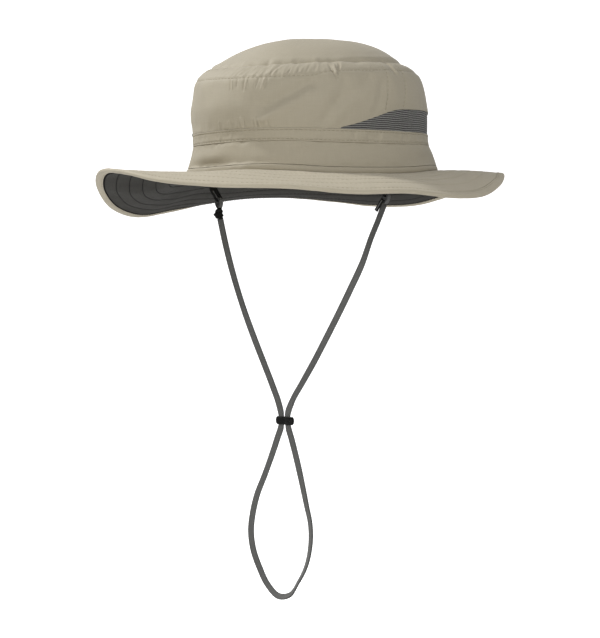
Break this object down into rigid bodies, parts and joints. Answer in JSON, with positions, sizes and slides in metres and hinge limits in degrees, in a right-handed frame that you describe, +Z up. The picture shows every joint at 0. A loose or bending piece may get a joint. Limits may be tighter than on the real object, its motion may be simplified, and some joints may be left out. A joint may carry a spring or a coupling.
{
  "type": "bucket sun hat with chin strap",
  "caption": "Soft bucket sun hat: domed crown with mesh side vents and a drawcord channel, wide floppy brim with bound edge, and a hanging chin strap with slider.",
  "frame": {"origin": "centre of the crown's open base, where the hat sits on the head", "axes": "+Z up out of the crown; the hat faces -Y; the wearer's left is +X"},
  "size_m": [0.2924, 0.3249, 0.4278],
  "materials": {
    "khaki_cloth": "matt woven nylon",
    "charcoal_cloth": "matt woven nylon",
    "vent_mesh": "matt ribbed mesh",
    "strap_tape": "matt flat tape",
    "black_webbing": "matt webbing",
    "black_plastic": "satin moulded"
  },
  "bodies": {
    "root": {"crown_tip": "khaki_cloth", "crown_front": "khaki_cloth", "crown_back": "khaki_cloth", "vent_left": "vent_mesh", "vent_right": "vent_mesh", "cord_channel": "khaki_cloth", "lower_band": "khaki_cloth", "seam_strip": "khaki_cloth", "brim_top": "khaki_cloth", "brim_underside": "charcoal_cloth", "brim_binding": "khaki_cloth", "chin_strap": "strap_tape", "strap_toggle": "black_plastic", "webbing_tab_right": "black_webbing", "webbing_tab_left": "black_webbing", "strap_fold_right": "strap_tape", "strap_fold_left": "strap_tape", "strap_keeper": "black_webbing", "strap_tail_tab": "black_webbing"}
  },
  "joints": []
}
